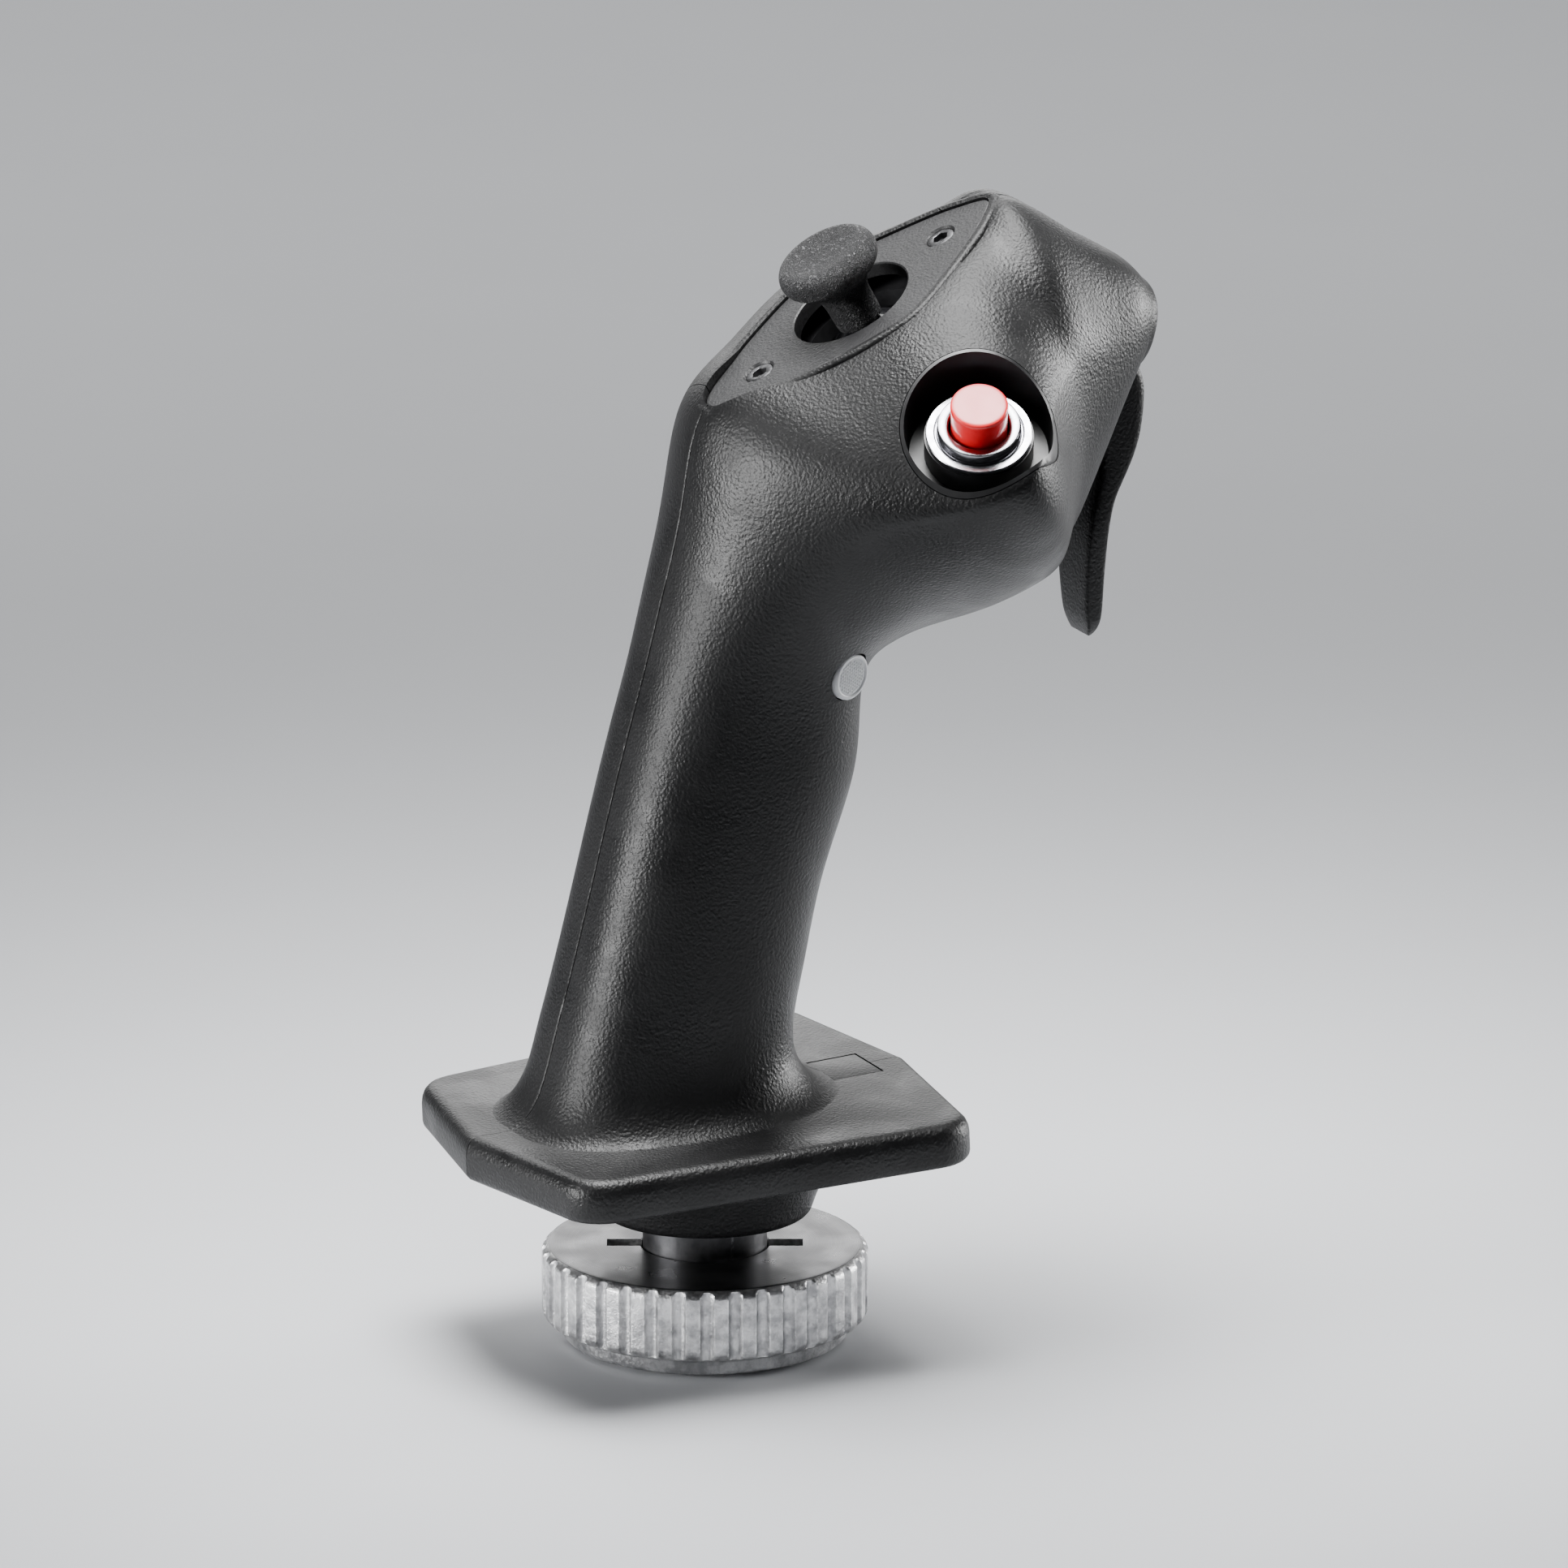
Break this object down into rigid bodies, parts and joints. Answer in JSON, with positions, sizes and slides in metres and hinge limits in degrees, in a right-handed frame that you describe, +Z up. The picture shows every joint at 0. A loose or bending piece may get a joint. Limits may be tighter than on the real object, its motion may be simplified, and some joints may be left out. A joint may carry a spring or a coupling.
{
  "type": "flight joystick grip",
  "caption": "Forward-leaning side-stick flight grip with a broad head, thumbstick, red push button, trigger, hand rest and a grooved ring nut that clamps it to a base.",
  "frame": {"origin": "on the ring nut's axis, at its lower rim, where the thread of the base enters", "axes": "+Z up along the nut's axis, +Y forward towards the trigger, +X to the pilot's right, the red button's side"},
  "size_m": [0.083, 0.1044, 0.161],
  "materials": {
    "shell_black": "fine moulded grain, satin",
    "plate_black": "fine moulded grain, satin",
    "inner_black": "smooth moulded",
    "stick_rubber": "leather grain",
    "gloss_black": "polished",
    "red_gloss": "polished",
    "pale_grey": "fine dots",
    "collar_chrome": "bright plated",
    "nut_aluminium": "cast with turned top",
    "neck_steel": "black, worn on the edges",
    "screw_steel": "blackened",
    "spring_steel": "drawn wire",
    "switch_plastic": "moulded",
    "board_green": "lacquered laminate",
    "loom_grey": "sleeve",
    "pin_brass": "gilt"
  },
  "bodies": {
    "grip": {"right_grip_shell": "shell_black", "left_grip_shell": "shell_black", "left_head_cover": "shell_black", "top_plate": "plate_black", "plate_screws": "screw_steel", "stick_bracket": "inner_black", "stick_base": "inner_black", "red_button_cup": "gloss_black", "red_button_carrier": "inner_black", "red_button_collar": "collar_chrome", "red_button_switch": "switch_plastic", "pale_button_socket": "inner_black", "pale_button_switch": "switch_plastic", "trigger_pin": "spring_steel", "trigger_spring": "spring_steel", "trigger_switch": "switch_plastic", "rest_hatch": "shell_black", "foot_boss": "shell_black", "neck": "neck_steel", "neck_lock_ring": "spring_steel", "locating_pin": "spring_steel", "plug_insert": "inner_black", "plug_pins": "pin_brass", "circuit_board": "board_green", "wire_loom": "loom_grey", "shell_screws": "screw_steel"},
    "gimbal": {"stick_gimbal": "inner_black"},
    "stick": {"stick_lever": "spring_steel", "stick_dome": "gloss_black", "stick_cap": "stick_rubber"},
    "red_push": {"red_button_cap": "red_gloss", "red_button_spring": "spring_steel"},
    "pale_push": {"pale_button": "pale_grey"},
    "trigger_lever": {"trigger": "shell_black"},
    "coupling_nut": {"ring_nut": "nut_aluminium"}
  },
  "joints": [
    {"name": "stick_pitch", "type": "hinge", "parent": "grip", "child": "gimbal", "pos_m": [0, 0.0282, 0.13805], "axis": [1, 0, 0], "range_deg": [-14, 14], "stiffness_Nm_per_rad": 0.04},
    {"name": "stick_roll", "type": "hinge", "parent": "gimbal", "child": "stick", "pos_m": [0, 0.0282, 0.13805], "axis": [0, 0.8669, 0.4985], "range_deg": [-14, 14], "stiffness_Nm_per_rad": 0.04},
    {"name": "red_press", "type": "slide", "parent": "grip", "child": "red_push", "axis": [-0.4982, 0.2431, -0.8323], "range_m": [0, 0.0015], "stiffness_N_per_m": 400},
    {"name": "pale_press", "type": "slide", "parent": "grip", "child": "pale_push", "axis": [-0.9272, -0.3609, 0.1002], "range_m": [0, 0.0008], "stiffness_N_per_m": 400},
    {"name": "trigger_pull", "type": "hinge", "parent": "grip", "child": "trigger_lever", "pos_m": [0, 0.0587, 0.1395], "axis": [-1, 0, 0], "range_deg": [0, 8], "stiffness_Nm_per_rad": 0.1},
    {"name": "nut_turn", "type": "hinge", "parent": "grip", "child": "coupling_nut", "pos_m": [0, 0, 0], "axis": [0, 0, 1], "continuous": true}
  ]
}
